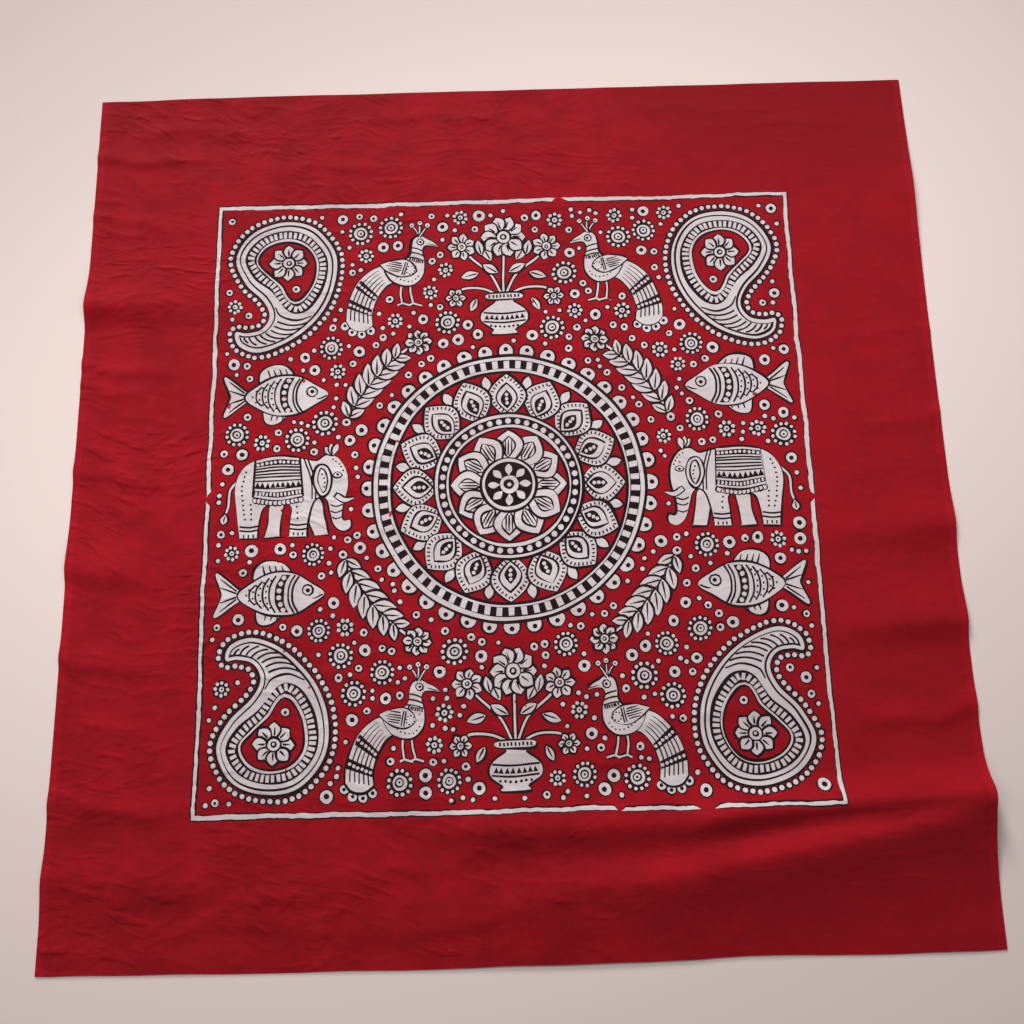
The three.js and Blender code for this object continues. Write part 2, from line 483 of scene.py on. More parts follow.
# A walking elephant that faces right, about 116 wide and 84 high, with a banded saddle cloth
def elephant():
    tailPath = thread([(-48, 14), (-56, 4), (-57, -12), (-60, -20)], 4)
    tuft = inked(petal(10, 6.5, 1.3)) + [dash(2, 8, width=pen["thin"])]
    marks = stalks([tailPath]) + moved(tuft, -59.5 - 19j, -100)
    farHind = [(-16, -10), (-18, -28), (-22, -42), (-22.5, -42.4), (-8, -42.4), (-8, -42), (-7, -26),
               (-4, -10)]
    farFore = [(18, -10), (22, -28), (26, -42), (26.2, -42.4), (39, -42.4), (39, -42), (36, -26), (32, -8)]
    marks += inked(loop(farHind)) + inked(loop(farFore))
    hindLeg = [(-45, -42), (-45, -42.6), (-29, -42.6), (-29, -42), (-27, -26), (-22, -13), (-6, -11),
               (4, -14)]
    foreLeg = [(3, -28), (2, -42), (2, -42.6), (18, -42.6), (18, -42), (20, -26), (25, -10), (33, -5),
               (39, -10)]
    trunk = [(42, -22), (46, -34), (54, -40), (61, -37), (61, -30), (56, -31), (53, -27), (54, -14),
             (58, 2)]
    back = [(57, 18), (49, 31), (38, 34), (29, 29), (16, 32), (-6, 35), (-28, 33), (-43, 24), (-50, 6),
            (-48, -18)]
    marks += inked(loop(hindLeg + foreLeg + trunk + back))
    topEdge = thread([(-30, 32.6), (-10, 35.6), (12, 33.4)])
    lowEdge = thread([(-33, -3), (-10, -7), (14, -4)])
    marks += row(inked(circle(2.2, -3.2j), pen["thin"]), lowEdge, 12)
    marks += inked(between(lowEdge, topEdge))

    def level(share):
        places = np.linspace(0, 1, 14)
        return along(lowEdge, places) * (1 - share) + along(topEdge, places) * share

    def belt(low, high):
        return [(black, between(level(low), level(high)))]

    marks += belt(0.05, 0.18) + row([(white, block(2.0, 3.4))], level(0.115), 13)
    marks += belt(0.23, 0.265) + row([(black, tooth(5.2, 5.6))], level(0.335), 9) + belt(0.41, 0.445)
    marks += [inkLine(level(share), pen["line"]) for share in (0.52, 0.6, 0.68, 0.755)]
    marks += belt(0.81, 0.94) + row([(white, circle(1.6, 0, 8))], level(0.875), 10)
    for x0, x1 in ((-46, -28), (2, 19)):  # anklets, and nails below them
        for y in (-35, -31):
            marks.append(penLine([(x0, y), ((x0 + x1) / 2, y - 1), (x1, y)]))
        marks += row([(black, block(1.5, 3.2))], np.array([x0 + 2 - 40.6j, x1 - 2 - 40.6j]), 3)
    for x in (17, 20.4):
        marks.append(penLine([(x, 32), (x + 6, 12), (x + 7, -8)], pen["fine"]))
    for knots in ([(-39, 24), (-44, 8), (-43, -12), (-40, -27)], [(8, -12), (10, -20), (10, -28)],
                  [(-36, -8), (-35, -18), (-35, -27)]):
        seam = thread(knots)
        marks += dots(seam, int(np.abs(np.diff(seam)).sum() / 4.4), 1.15)
    ear = loop([(30, 24), (38, 23), (42, 12), (40, 0), (34, -5), (29, 1), (26, 12)])
    marks += inked(ear) + [(black, grown(ear, -2.4)), (white, grown(ear, -2.4 - pen["fine"]))]
    marks += dots(thread([(33, 18), (36.5, 9), (35, 2)]), 4)
    eye = loop([(45, 14), (48.5, 16.8), (52.5, 14), (48.5, 12.2)], 1.2)
    marks += inked(eye, pen["thin"]) + [(black, circle(1.4, 48.8 + 14.4j, 7))]
    marks += inked(brush(thread([(47, -5), (55, -10), (64, -8)]), 4.2, 1, 0.15), pen["fine"])
    for y in (-14, -20, -26):
        marks.append(penLine([(41 - (y + 9) * 0.12, y), (47, y - 2), (53.4, y)], pen["fine"]))
    marks += dots(thread([(43, 31), (50, 26), (55, 17)]), 5)
    for turn in (130, 100, 70):
        marks += moved(inked(petal(12, 5.4, 1.2), pen["fine"]), 44 + 34j, turn)
    return marks


# A fish that faces right, about 88 long, with a beaded belt, scales and striped fins
def fish():
    tail = loop([(-22, 0), (-30, 7), (-45, 18), (-41, 6), (-39, 0), (-41, -6), (-45, -18), (-30, -7)])
    upperFin = loop([(13, 13), (7, 24), (-6, 26), (-15, 20), (-12, 9)])
    lowerFin = loop([(9, -12), (1, -23), (-10, -23), (-10, -9)])
    body = loop([(-27, 0), (-17, 9), (-2, 16), (16, 16), (31, 8), (41, 0), (31, -8), (16, -16), (-2, -16),
                 (-17, -9)])
    marks = inked(tail) + inked(upperFin) + inked(lowerFin)
    finRays = [(-28 + 0.25j * y, -41 + 1j * y) for y in (-13, -6, 6, 13)]
    finRays += [(x + 14j, x - 3 + 23j) for x in (-6, -1, 4, 9)]
    finRays += [(x - 14j, x - 2 - 21j) for x in (-4, 1, 6)]
    marks += [dash(root, tip, 1, 0.5) for root, tip in finRays]
    marks += inked(body)

    def across(x, half):
        bowed = [(x + 3, half), (x - 1, half * 0.5), (x - 2, 0), (x - 1, -half * 0.5), (x + 3, -half)]
        return thread(bowed)

    marks += [inkLine(across(17.6, 14.6), pen["line"]), inkLine(across(14.4, 15.2))]
    marks += [(black, between(across(10.6, 15.2), across(3.4, 15.2)))]
    marks += row([(white, circle(2.0, 0, 8))], across(7, 15.2), 6)
    for x, half in ((-0.4, 14.8), (-5.6, 13.2), (-10.8, 11.0), (-16, 8.2)):
        marks.append(inkLine(across(x, half)))
        marks += dots(across(x - 2.6, half - 2), int(half / 2.4), 0.95)
    marks += inked(circle(3.6, 28 + 3j), pen["fine"]) + [(black, circle(1.8, 28.4 + 3j))]
    return marks + [inkLine(thread([(40, -0.6), (35, -3), (32, -3.4)], 2), pen["fine"], 1, 0.5)]


# A leafy branch along an arc about the origin, which ends in a flower
def garland(radius=147, spread=37):
    stem = radius * np.exp(1j * np.radians(np.linspace(-spread / 2, spread / 2, 30)))
    marks = stalks([stem])
    for share, size in zip(np.linspace(0.05, 0.74, 7), (15, 18, 20, 20, 19, 17, 14)):
        heading = 90 + (share - 0.5) * spread
        at = along(stem, np.array([share]))[0]
        for side in (40, -40):
            marks += moved(leaf(size, size * 0.46), at, heading + side)
    return marks + moved(ringDot(3.6), stem[0]) + moved(flower(11.5, 8), stem[-1])


# The panel: its border line, then the large motifs, then small ones in the red that is left

panel = {
    "width": 500,
    "length": 516,
    "border": 2.9,
    "innerLine": 1.1,
    "outerLine": 1.0,
    "waver": 0.4,  # how far the border line strays, and how much its thickness changes
    "innerWaver": 0.6,  # the inner line's thickness changes by this share of that
    "borderSpacing": 3,  # from point to point
    "borderBreaks": ((330, 5), (397, 13), (742, 6), (1216, 9), (1780, 7)),  # place round it, and length
    "breakTaper": 1.6,  # how gradually the brush runs dry
    "breakOverlap": 0.4,
    "lotusRadius": 118,
    "fillerTries": 16000,
    "fillerInset": 8,
    "fillerGap": 1.6,
    "fillerSizes": (0.88, 1.04),  # least and most, as shares of the radius
    "fillers": ((10.5, 30, beadedRosette), (7.6, 70, rosette), (4.9, 200, ringDot), (3.2, 300, ringDot),
                (1.9, 340, bead)),
}

# Motifs of the right half: x, y, turn, size and whether mirrored. The left half mirrors them all.
sideMotifs = (
    (paisley, 190, 196, 180, 1.08, False),
    (paisley, 190, -196, 0, 1.08, True),
    (crestedBird, 92, 191, 0, 0.78, True),
    (crestedBird, 91, -190, 0, 0.75, True),
    (fish, 193, 82, 0, 1.02, True),
    (fish, 193, -86, 0, 1.02, True),
    (elephant, 183, -2, 0, 0.86, True),
    (garland, 0, 0, 41, 1.0, False),
    (garland, 0, 0, 139, 1.0, True),
)
middleMotifs = ((flowerPot, 182, 0.92), (flowerPot, -192, 0.92))  # y and size


# Evenly spaced points round a rectangle, from its near left corner
def rectangle(width, length, spacing):
    path = closedPath(block(width, length))
    return np.concatenate([evenly(path[i:i + 2], spacing)[:-1] for i in range(4)])


# A sum of sines of unlike lengths round an outline, the slow ones larger
def unevenness(count):
    fewest, most, sines = 12, 300, 20
    waves, starts = rng.integers(fewest, most, sines), rng.uniform(size=sines)
    share = np.arange(count)[:, None] / count
    return (np.sin(2 * np.pi * (waves * share + starts)) / np.sqrt(waves / fewest)).sum(axis=1) / 2


# The border line: white between two thin black lines. Where the brush ran dry all taper away to nothing.
def borderLine():
    outer = rectangle(panel["width"], panel["length"], panel["borderSpacing"])
    place = np.append(0, np.cumsum(np.abs(np.diff(outer))))
    taper, overlap = panel["breakTaper"], panel["breakOverlap"]
    dry = [smoothStep(taper - np.abs(place - at) / (length / 2)) for at, length in panel["borderBreaks"]]
    wet = 1 - sum(dry)
    shift, swell, swellBlack = [panel["waver"] * unevenness(len(outer)) for _ in range(3)]
    marks = [(black, grown(outer, shift + panel["outerLine"] * wet)), (white, grown(outer, shift))]
    inset = 0
    steps = ((black, panel["border"], swell), (red, panel["innerLine"], panel["innerWaver"] * swellBlack))
    for ink, width, change in steps:
        inset += width
        inner = (outer.real * (1 - 2 * inset / panel["width"])
                 + 1j * outer.imag * (1 - 2 * inset / panel["length"]))
        marks.append((ink, grown(inner, shift - change * wet + (inset + overlap) * (1 - wet))))
    return marks


# A mark as a hand leaves it. Slow waves run round its outline, a sum of random amounts of e^(ikt), which
# are small beside the mark's own breadth, 2 * area / girth. The whole then drifts with the arm.
def handDrawn(z):
    ahead = np.roll(z, -1)
    breadth = abs((np.conj(z) * ahead).imag.sum()) / np.abs(ahead - z).sum()
    waves = np.array([-4, -3, -2, -1, 1, 2, 3, 4, 6])
    amounts = rng.normal(size=(len(waves), 2)) @ np.array([1, 1j]) / np.abs(waves) ** 0.7
    turns = 2j * np.pi * np.arange(len(z)) / len(z)
    size = min(pen["waver"] * np.clip(breadth / 4, 0.5, 2), pen["waverMost"] * breadth)
    shake = pen["shake"] * complex(*rng.normal(size=2))
    z = z + size / 2 * np.exp(np.outer(turns, waves)) @ amounts + shake
    x, y = z.real, z.imag
    across = np.sin(x / 19 + y / 41 + 0.4) + 0.6 * np.sin(y / 8.3 + 1.9) + 0.4 * np.sin(x / 5.7 - y / 9.1)
    up = np.sin(y / 21 - x / 37 + 2.2) + 0.6 * np.sin(x / 7.9 + 0.3) + 0.4 * np.sin(y / 6.1 + x / 10.3)
    return z + pen["drift"] * (across + 1j * up) / 1.4


# How far points lie in from the edges of the panel or the cloth
def depth(piece, z):
    return np.minimum(piece["width"] / 2 - np.abs(z.real), piece["length"] / 2 - np.abs(z.imag))


# Even-odd rule for many points at once: a point is inside if its ray crosses the outline an odd number
# of times
def inside(points, outline):
    a, b = outline[None, :], np.roll(outline, -1)[None, :]
    p = points[:, None]
    crosses = (a.imag > p.imag) != (b.imag > p.imag)
    rise = np.where(np.abs(b.imag - a.imag) < 1e-9, 1e-9, b.imag - a.imag)
    return (crosses & (p.real < (b.real - a.real) * (p.imag - a.imag) / rise + a.real)).sum(axis=1) % 2 == 1


# Which spots have no drawn point within a square of the given reach. Drawn points are marked on a grid of
# 1 mm cells, and sums over the grid's corners then give the count in any square at once.
def clearOf(drawn, spots, reach):
    half = cloth["length"]
    counts = np.zeros((2 * half, 2 * half))
    counts[(drawn.real + half).astype(int), (drawn.imag + half).astype(int)] = 1
    sums = np.pad(counts.cumsum(axis=0).cumsum(axis=1), ((1, 0), (1, 0)))
    x0, x1 = (spots.real + half - reach).astype(int), (spots.real + half + reach).astype(int) + 1
    y0, y1 = (spots.imag + half - reach).astype(int), (spots.imag + half + reach).astype(int) + 1
    return sums[x1, y1] - sums[x0, y1] - sums[x1, y0] + sums[x0, y0] == 0


# Small motifs at random places that clear every outline, the largest first
def fillers(marks):
    outlines = [z for _, z in marks]
    edge, tries = panel["fillerInset"], panel["fillerTries"]
    spots = (rng.uniform(-1, 1, tries) * (panel["width"] / 2 - edge)
             + 1j * rng.uniform(-1, 1, tries) * (panel["length"] / 2 - edge))
    for outline in outlines:
        middle = outline.mean()
        close = np.abs(spots - middle) < np.abs(outline - middle).max()
        spots = np.concatenate([spots[~close], spots[close][~inside(spots[close], outline)]])
    rng.shuffle(spots)
    drawn = np.concatenate(outlines)
    placed = []
    for radius, most, motif in panel["fillers"]:
        gap = radius + panel["fillerGap"]
        chosen = np.zeros(0, complex)
        for spot in spots[(depth(panel, spots) > edge + radius) & clearOf(drawn, spots, gap)]:
            if len(chosen) < most and np.all(np.abs(chosen - spot) > radius + gap):
                chosen = np.append(chosen, spot)
                size = radius * rng.uniform(*panel["fillerSizes"])
                placed += moved(motif(size), spot, rng.uniform(0, 360))
        taken = [circle(radius * share, spot, 16) for spot in chosen for share in (0.5, 1)]
        drawn = np.concatenate([drawn] + taken)
    return placed


def drawPanel():
    motifs = lotusRound(panel["lotusRadius"])
    for motif, x, y, turn, size, flip in sideMotifs:
        motifs += moved(motif(), x + 1j * y, turn + rng.normal(), size, flip)
        motifs += moved(motif(), -x + 1j * y, -turn + rng.normal(), size, not flip)
    for motif, y, size in middleMotifs:
        motifs += moved(motif(), 1j * y, rng.normal(), size)
    return borderLine() + motifs + fillers(motifs)


# The sheet: the painted outlines and a grid of points are triangulated together, so that each ink's edge
# is an edge of the mesh, and the points are then laid in the folds. The back is a coarser grid on the
# same rim.

def cutRim():
    rim = rectangle(cloth["width"], cloth["length"], cloth["marginStep"])
    x, y = rim.real, rim.imag
    ends = cloth["edgeWander"] * np.abs(np.sin(x / 47 + 1) + 0.5 * np.sin(x / 13 + 2.1)) / 1.5
    sides = cloth["edgeWander"] * cloth["selvedgeWander"] * np.abs(np.sin(y / 61 + 0.7))
    onEnds = np.isclose(np.abs(y), cloth["length"] / 2)
    onSides = np.isclose(np.abs(x), cloth["width"] / 2)
    return rim - np.where(onSides, np.sign(x) * sides, 0) - 1j * np.where(onEnds, np.sign(y) * ends, 0)


def gridPoints(step, inset):
    w, h = cloth["width"] / 2 - inset, cloth["length"] / 2 - inset
    gx, gy = np.linspace(-w, w, int(2 * w / step)), np.linspace(-h, h, int(2 * h / step))
    x, y = np.meshgrid(gx, gy, indexing="ij")
    stagger = np.where(np.arange(len(gy)) % 2, 0.25, -0.25) * step
    return (np.clip(x + stagger, -w, w) + 1j * y).ravel()


# Triangles of the outlines and points, with the last outline that covers each, all within the first outline
def triangulate(outlines, loosePoints):
    outlines = [z if (np.conj(z) * np.roll(z, -1)).imag.sum() > 0 else z[::-1] for z in outlines]
    ends = np.cumsum([0] + [len(z) for z in outlines])
    points = np.concatenate(outlines + [loosePoints])
    faces = [list(range(a, b)) for a, b in zip(ends[:-1], ends[1:])]
    flat = [Vector(pair) for pair in np.stack([points.real, points.imag], 1).tolist()]
    everything, merge = 0, 1e-4  # keep all triangles, and join points closer than this
    verts, _, triangles, _, _, sources = delaunay_2d_cdt(flat, [], faces, everything, merge, True)
    spots = np.array(verts) @ np.array([1, 1j])
    cover = np.array([max(source, default=-1) for source in sources])
    return spots, np.array(triangles)[cover >= 0], cover[cover >= 0]


# Shares of the panel's area in each ink
def inkShares(points, triangles, ink):
    a, b, c = points[triangles].T
    area = np.abs((np.conj(b - a) * (c - a)).imag) / 2
    middle = (a + b + c) / 3
    area[depth(panel, middle) < 0] = 0
    return np.bincount(ink, area, 3) / area.sum()


def addObject(name, data):
    item = bpy.data.objects.new(name, data)
    bpy.context.scene.collection.objects.link(item)
    return item


def newMesh(name, places, triangles, slots):
    mesh = bpy.data.meshes.new(name)
    mesh.vertices.add(len(places))
    mesh.vertices.foreach_set("co", places.ravel())
    mesh.loops.add(triangles.size)
    mesh.loops.foreach_set("vertex_index", triangles.ravel().astype(np.int32))
    mesh.polygons.add(len(triangles))
    mesh.polygons.foreach_set("loop_start", np.arange(0, triangles.size, 3, dtype=np.int32))
    mesh.polygons.foreach_set("material_index", slots.astype(np.int32))
    mesh.update(calc_edges=True)
    return mesh


# Two maps: flat holds each corner's place on the cut, in metres, and the other spreads the top and, in a
# strip over it, the back on a square
def addMaps(mesh, corner, onTop):
    spread = np.stack([corner.real / (cloth["width"] * mm), corner.imag / (cloth["length"] * mm)], 1) + 0.5
    gap, topShare = 0.005, 0.9  # left free round both, and the top's share of the square's height
    topMap = gap + spread * np.array([1 - 2 * gap, topShare - 2 * gap])
    backMap = np.array([gap, topShare + gap]) + spread * np.array([1 - 2 * gap, 1 - topShare - 2 * gap])
    maps = {
        "flat": np.stack([corner.real, corner.imag], 1),
        "OFBake": np.where(onTop[:, None], topMap, backMap),
    }
    for name, places in maps.items():
        mesh.uv_layers.new(name=name).data.foreach_set("uv", places.ravel())


def makeSheet(marks):
    rim = cutRim()
    inks = np.array([red] + [ink for ink, _ in marks])
    outlines = [rim] + [handDrawn(z) for _, z in marks]
    gap = cloth["gridGap"]
    inset = cloth["edgeRound"] + gap
    onMargin, inPanel = gridPoints(cloth["marginStep"], inset), gridPoints(cloth["panelStep"], inset)
    grid = np.concatenate([onMargin[depth(panel, onMargin) < -gap], inPanel[depth(panel, inPanel) > 0]])
    grid = grid[clearOf(np.concatenate(outlines[1:]), grid, cloth["outlineGap"])]
    steps = (cloth["edgeStep"], cloth["edgeRound"])
    shoulders = [rim * (1 - inward / (cloth["width"] / 2)) for inward in steps]
    top, topFaces, cover = triangulate(outlines, np.concatenate([grid] + shoulders))
    back, backFaces, _ = triangulate([rim], gridPoints(cloth["backStep"], cloth["backInset"]))
    ink = inks[cover]
    print("triangles on top", len(topFaces), "and back", len(backFaces))
    print("shares of red, white and black in the panel", inkShares(top, topFaces, ink).round(3))

    # The cloth thins towards its rim, as 1 - (1 - t)^2 over the last edgeRound, to edgeShare
    t = np.clip(depth(cloth, top) / cloth["edgeRound"], 0, 1)
    layer = cloth["thickness"] * (cloth["edgeShare"] + (1 - cloth["edgeShare"]) * (1 - (1 - t) ** 2))
    upper, upperNormals = layCloth(top.real, top.imag, layer)
    lower, lowerNormals = layCloth(back.real, back.imag, np.zeros(len(back)))

    # The rim's points come first in both, so the wall joins them in the rim's own order
    here = np.arange(len(rim))
    ahead = (here + 1) % len(rim)
    base = len(top)
    wall = [np.stack([here, base + here, base + ahead], 1), np.stack([here, base + ahead, ahead], 1)]
    places = np.concatenate([upper, lower]) * mm
    triangles = np.concatenate([topFaces, backFaces[:, ::-1] + base] + wall)
    slots = np.concatenate([ink, np.full(len(triangles) - len(ink), red)])
    flat = np.concatenate([top, back]) * mm

    mesh = newMesh("painted_cloth", places, triangles, slots)
    addMaps(mesh, flat[triangles.ravel()], np.repeat(np.arange(len(triangles)) < len(topFaces), 3))
    mesh.polygons.foreach_set("use_smooth", np.ones(len(triangles), bool))
    mesh.normals_split_custom_set_from_vertices(np.concatenate([upperNormals, -lowerNormals]))
    mesh.validate()
    return addObject("painted_cloth", mesh)


# Materials: the same cotton in three colours

finish = {
    "threadPitch": 0.00055,  # metres from thread to thread
    "threadWander": 2.0,  # radians
    "threadRise": 0.12,  # parts of the weave's height: threads, streaks along them and fine mottle
    "streak": 0.3,
    "mottle": 0.4,
    "slubRange": (0.3, 0.7),
    "selvedge": 0.0065,  # width of the denser edge
    "selvedgeBlur": 0.0006,
    "selvedgeToneAndHighlight": 0.16,  # how much paler the selvedge band is: partly its own tone, partly painted highlight of the rolled edge
    "crinkle": 0.00075,  # height of the crinkles, and of the weave
    "weave": 0.0002,
    "weaveStrength": 0.6,
    "ridge": 0.9,  # parts of the crinkles' height: ridges, those that cross them, and lumps
    "crossing": 0.4,
    "lump": 0.5,
    "ridgeRange": (0.46, 0.8),  # the noise between these makes sparse ridges
    "patchRange": (0.35, 0.65, 0.3, 1.2),
    "crinkleFade": (-0.15, 0.26, 1.25, 0.3),  # from x to x, in metres, and from how much to how much
    "crinkleFadeNear": (-0.3, 0.3, 0.78, 1.14),  # the same along y
    "swellFade": (0.0, 0.28, 1.9, 1.1),  # broad swells under the crinkles, along x
    "cloudFade": (0.0, 0.28, 1.0, 0.5),  # clouds in the dye, along x
    "cloudRange": (0.36, 0.64),
    "smallCloud": 0.68,
    "broadCloud": 0.32,
    "roughnessSpread": 0.05,
    "specular": 0.12,
    "sheen": 0.05,
    "sheenRoughness": 0.5,
    "paintedShadeAt": (0.3, 0.37, 0),  # metres on the cut: painted shade, a darker patch at the far right corner
    "paintedShadeReach": (0.22, 0.12, 1),
    "paintedShadeFade": (0.3, 1.2, 0.85, 0.0),
    "stain": (0.42, 0.028, 0.038),  # red that ran into the white
    "stainFrom": 0.745,  # higher is rarer
    "stainFull": 0.78,
}
madderRed = {
    "full": (0.35, 0.0047, 0.0114),
    "dull": (0.262, 0.0033, 0.0083),
    "slub": 0.075,  # how far thread to thread differs in tone
    "roughness": 0.88,
    "stained": False,
}
undyedWhite = {
    "full": (0.69, 0.62, 0.617),
    "dull": (0.59, 0.498, 0.507),
    "slub": 0.04,
    "roughness": 0.9,
    "stained": True,
}
ironBlack = {
    "full": (0.011, 0.005, 0.0068),
    "dull": (0.022, 0.008, 0.0095),
    "slub": 0.2,
    "roughness": 0.84,
    "stained": False,
}


# A node group that takes a place on the cut, with that place and its x and y
def newGroup(name, outputs):
    group = bpy.data.node_groups.new(name, "ShaderNodeTree")
    group.interface.new_socket("Place", in_out="INPUT", socket_type="NodeSocketVector")
    for label in outputs:
        group.interface.new_socket(label, in_out="OUTPUT", socket_type="NodeSocketFloat")
    place = group.nodes.new("NodeGroupInput").outputs["Place"]
    split = addNode(group, "ShaderNodeSeparateXYZ", {0: place}).outputs
    return group, place, split[0], split[1], group.nodes.new("NodeGroupOutput")


# A node with its settings, and a value or a link for each input named
def addNode(tree, kind, inputs, **settings):
    node = tree.nodes.new(kind)
    for name, value in settings.items():
        setattr(node, name, value)
    for name, value in inputs.items():
        if isinstance(value, bpy.types.NodeSocket):
            tree.links.new(value, node.inputs[name])
        else:
            node.inputs[name].default_value = value
    return node


def maths(tree, operation, a, b=0.0, c=0.0):
    return addNode(tree, "ShaderNodeMath", {0: a, 1: b, 2: c}, operation=operation).outputs[0]


def vectorMaths(tree, operation, inputs, output=0):
    return addNode(tree, "ShaderNodeVectorMath", inputs, operation=operation).outputs[output]


# Noise with so many waves a metre across and up the cloth, turned by a few radians
def noise(tree, place, across, up, turn=0.0, detail=2.0, rough=0.5):
    turned = {"Vector": place, "Scale": (1 / across, 1 / up, 1), "Rotation": (0, 0, turn)}
    vector = addNode(tree, "ShaderNodeMapping", turned, vector_type="TEXTURE").outputs[0]
    inputs = {"Vector": vector, "Scale": 1.0, "Detail": detail, "Roughness": rough}
    return addNode(tree, "ShaderNodeTexNoise", inputs).outputs[0]


# A smooth step from one range to another
def spanned(tree, value, low, high, outLow=0.0, outHigh=1.0):
    inputs = {0: value, 1: low, 2: high, 3: outLow, 4: outHigh}
    return addNode(tree, "ShaderNodeMapRange", inputs, interpolation_type="SMOOTHSTEP").outputs[0]


def blended(tree, share, a, b):
    inputs = {0: share, 6: a + (1,) if isinstance(a, tuple) else a, 7: b + (1,)}
    return addNode(tree, "ShaderNodeMix", inputs, data_type="RGBA").outputs[2]


# Plain weave: threads over and under as sin(x) * sin(y), slubs as streaks along each thread with a fine
# mottle, and the band of each selvedge, paler partly in its own tone and partly as painted highlight
def weaveGroup():
    group, place, x, y, sink = newGroup("handloomWeave", ("Height", "Slub", "Selvedge"))
    turns = np.pi / finish["threadPitch"]
    wander = maths(group, "MULTIPLY", noise(group, place, 60, 60), finish["threadWander"])
    warp, weft = [maths(group, "SINE", maths(group, "MULTIPLY_ADD", way, turns, wander)) for way in (x, y)]
    slub = maths(group, "MULTIPLY", noise(group, place, 170, 210), finish["mottle"])
    for across, up in ((140, 560), (560, 150)):
        slub = maths(group, "MULTIPLY_ADD", noise(group, place, across, up), finish["streak"], slub)
    crossed = maths(group, "MULTIPLY", warp, weft)
    over = maths(group, "MULTIPLY_ADD", crossed, finish["threadRise"], slub)
    group.links.new(over, sink.inputs["Height"])
    group.links.new(slub, sink.inputs["Slub"])
    edge = cloth["width"] / 2 * mm - finish["selvedge"]
    side = maths(group, "ABSOLUTE", x)
    selvedgeBand = spanned(group, side, edge - finish["selvedgeBlur"], edge + finish["selvedgeBlur"])
    group.links.new(selvedgeBand, sink.inputs["Selvedge"])
    return group


# Crinkles that were never pressed out: sparse soft ridges across the cloth, a few that cross them, and
# lumps. A slow warp of their places bends them this way and that. They are patchy, and fade to the right
# and a little towards the near edge.
def crinkleGroup():
    group, place, x, y, sink = newGroup("unpressedCrinkle", ("Height",))
    slow = {"Vector": place, "Scale": 9.0, "Detail": 1.0}
    drift = addNode(group, "ShaderNodeTexNoise", slow).outputs["Color"]
    drift = vectorMaths(group, "SUBTRACT", {0: drift, 1: (0.5, 0.5, 0.5)})
    bent = vectorMaths(group, "MULTIPLY_ADD", {0: drift, 1: (0.06, 0.06, 0), 2: place})
    ridges = spanned(group, noise(group, bent, 34, 110, -0.2, 1.4), *finish["ridgeRange"])
    crossing = spanned(group, noise(group, bent, 48, 105, 0.35, 1.4), *finish["ridgeRange"])
    height = maths(group, "MULTIPLY", noise(group, bent, 60, 78, 0.0, 1.8), finish["lump"])
    height = maths(group, "MULTIPLY_ADD", crossing, finish["crossing"], height)
    height = maths(group, "MULTIPLY_ADD", ridges, finish["ridge"], height)
    amount = spanned(group, noise(group, place, 9, 13, 0.4), *finish["patchRange"])
    for way, fade in ((x, "crinkleFade"), (y, "crinkleFadeNear")):
        amount = maths(group, "MULTIPLY", amount, spanned(group, way, *finish[fade]))
    height = maths(group, "MULTIPLY", maths(group, "SUBTRACT", height, 0.5), amount)
    swell = noise(group, bent, 11, 22, 0.1)
    height = maths(group, "MULTIPLY_ADD", swell, spanned(group, x, *finish["swellFade"]), height)
    group.links.new(height, sink.inputs["Height"])
    return group


# Uneven dye: broad clouds with smaller ones in them, fainter to the right; and painted shade, a darker
# patch at the far right corner
def dyeAndShadeGroup():
    group, place, x, _, sink = newGroup("unevenDyeAndShade", ("Mask",))
    small = maths(group, "MULTIPLY", noise(group, place, 26, 34, 0.05, 3.5, 0.62), finish["smallCloud"])
    both = maths(group, "MULTIPLY_ADD", noise(group, place, 6, 8, 0.3), finish["broadCloud"], small)
    # Painted shade: round the far right corner the tone is pulled towards the duller colour
    corner = {"Vector": place, "Location": finish["paintedShadeAt"], "Scale": finish["paintedShadeReach"]}
    corner = addNode(group, "ShaderNodeMapping", corner, vector_type="TEXTURE").outputs[0]
    away = vectorMaths(group, "LENGTH", {0: corner}, "Value")
    shadePatch = spanned(group, away, *finish["paintedShadeFade"])
    clouds = maths(group, "SUBTRACT", spanned(group, both, *finish["cloudRange"]), 0.5)
    even = maths(group, "MULTIPLY_ADD", clouds, spanned(group, x, *finish["cloudFade"]), 0.5)
    mask = maths(group, "SUBTRACT", even, shadePatch)
    group.links.new(mask, sink.inputs["Mask"])
    return group


def newMaterial(name):
    material = bpy.data.materials.new(name)
    material.use_nodes = True
    return material, material.node_tree, material.node_tree.nodes["Principled BSDF"]


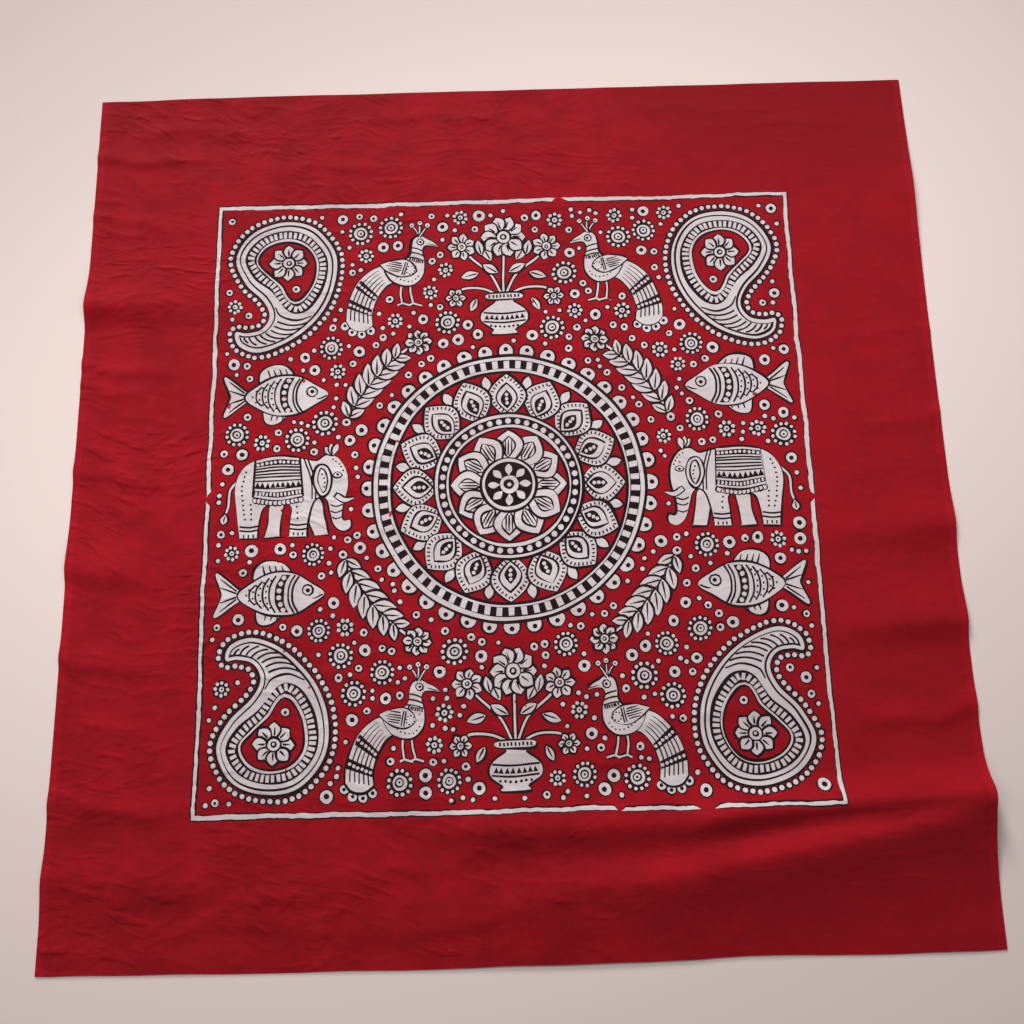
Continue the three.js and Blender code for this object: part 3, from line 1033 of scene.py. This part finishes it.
def cottonMaterial(name, cotton, groups):
    material, tree, shader = newMaterial(name)
    place = addNode(tree, "ShaderNodeUVMap", {}, uv_map="flat").outputs[0]
    weave, crinkle, dyeAndShade = [addNode(tree, "ShaderNodeGroup", {}, node_tree=group) for group in groups]
    for node in (weave, crinkle, dyeAndShade):
        tree.links.new(place, node.inputs["Place"])
    slub = weave.outputs["Slub"]
    # Tone between dull and full from the dye's clouds, and from the painted shade at the far right corner
    tone = blended(tree, dyeAndShade.outputs["Mask"], cotton["dull"], cotton["full"])
    shade = spanned(tree, slub, *finish["slubRange"], 1 - cotton["slub"], 1 + cotton["slub"])
    # Paler on the selvedge band: partly its own tone, partly painted highlight of the rolled edge
    shade = maths(tree, "MULTIPLY_ADD", weave.outputs["Selvedge"], finish["selvedgeToneAndHighlight"], shade)
    tone = vectorMaths(tree, "SCALE", {0: tone, "Scale": shade})
    if cotton["stained"]:
        spots = noise(tree, place, 95, 95, 0.7, 1.0)
        spots = spanned(tree, spots, finish["stainFrom"], finish["stainFull"])
        tone = blended(tree, spots, tone, finish["stain"])
    tree.links.new(tone, shader.inputs["Base Color"])
    least, most = [cotton["roughness"] + sign * finish["roughnessSpread"] for sign in (-1, 1)]
    rough = spanned(tree, slub, *finish["slubRange"], least, most)
    tree.links.new(rough, shader.inputs["Roughness"])
    creased = {"Height": crinkle.outputs["Height"], "Distance": finish["crinkle"]}
    creased = addNode(tree, "ShaderNodeBump", creased).outputs[0]
    woven = {"Height": weave.outputs["Height"], "Distance": finish["weave"],
             "Strength": finish["weaveStrength"], "Normal": creased}
    tree.links.new(addNode(tree, "ShaderNodeBump", woven).outputs[0], shader.inputs["Normal"])
    shader.inputs["Specular IOR Level"].default_value = finish["specular"]
    shader.inputs["Sheen Weight"].default_value = finish["sheen"]
    shader.inputs["Sheen Roughness"].default_value = finish["sheenRoughness"]
    return material


def makeMaterials():
    groups = (weaveGroup(), crinkleGroup(), dyeAndShadeGroup())
    cottons = {"madder_red_cotton": madderRed, "undyed_cotton": undyedWhite, "iron_black_line": ironBlack}
    return [cottonMaterial(name, cotton, groups) for name, cotton in cottons.items()]


# Floor, lights and camera

stage = {
    "floor": (0.86, 0.72, 0.67),
    "floorRoughness": 0.9,
    "floorReach": 6.0,  # metres from the middle
    "floorDrop": 0.0004,  # metres under the cloth
    "cameraAt": (5.45, -157.1, 684.85),  # mm
    "cameraAim": (2.05, -22.89, 0.0),
    "cameraRoll": -2.84,  # degrees
    "focal": 850 / 1024,  # of the picture's width
    "sensor": 36,  # mm
    "clipStart": 0.01,
    "keyAt": (-1.3, 4.6, 1.75),  # metres: a low window beyond the far side
    "keySize": (1.2, 1.2),
    "keyPower": 205,
    "fillAt": (-0.04, 0.14, 0.56),  # a long lamp close over the cloth, along x
    "fillSize": (1.1, 0.3),
    "fillPower": 3.3,
    "sky": 0.17,
    "skyTint": (1, 0.97, 0.95),
}


def makeFloor():
    reach = stage["floorReach"]
    corners = [(-reach, -reach), (reach, -reach), (reach, reach), (-reach, reach)]
    mesh = bpy.data.meshes.new("floor")
    mesh.from_pydata([(x, y, -stage["floorDrop"]) for x, y in corners], [], [(0, 1, 2, 3)])
    material, _, shader = newMaterial("pale_floor")
    shader.inputs["Base Color"].default_value = stage["floor"] + (1,)
    shader.inputs["Roughness"].default_value = stage["floorRoughness"]
    mesh.materials.append(material)
    return addObject("floor", mesh)


def addLight(name, at, size, power):
    light = bpy.data.lights.new(name, "AREA")
    light.shape = "RECTANGLE"
    light.size, light.size_y = size
    light.energy = power
    lamp = addObject(name, light)
    lamp.visible_camera = False
    aim = (-Vector(at)).to_track_quat("-Z", "Y")
    lamp.matrix_world = Matrix.Translation(at) @ aim.to_matrix().to_4x4()


def makeCamera():
    data = bpy.data.cameras.new("camera")
    data.lens = stage["focal"] * stage["sensor"]
    data.sensor_width = stage["sensor"]
    data.clip_start = stage["clipStart"]
    at, aim = Vector(stage["cameraAt"]) * mm, Vector(stage["cameraAim"]) * mm
    turn = (aim - at).to_track_quat("-Z", "Y") @ Quaternion((0, 0, 1), np.radians(stage["cameraRoll"]))
    camera = addObject("camera", data)
    camera.matrix_world = Matrix.Translation(at) @ turn.to_matrix().to_4x4()
    bpy.context.scene.camera = camera


def makeStage():
    addLight("key", stage["keyAt"], stage["keySize"], stage["keyPower"])
    addLight("fill", stage["fillAt"], stage["fillSize"], stage["fillPower"])
    world = bpy.data.worlds.new("studio")
    world.use_nodes = True
    background = world.node_tree.nodes["Background"]
    background.inputs["Color"].default_value = stage["skyTint"] + (1,)
    background.inputs["Strength"].default_value = stage["sky"]
    bpy.context.scene.world = world
    bpy.context.scene.view_settings.view_transform = "Standard"
    return makeFloor()


makeCamera()
print("camera placed")
marks = drawPanel()
print("painting drawn:", len(marks), "marks,", sum(len(z) for _, z in marks), "points")
sheet = makeSheet(marks)
for material in makeMaterials():
    sheet.data.materials.append(material)
print("cloth laid and dyed")
floor = makeStage()

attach(sheet, "root")
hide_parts("cloth")
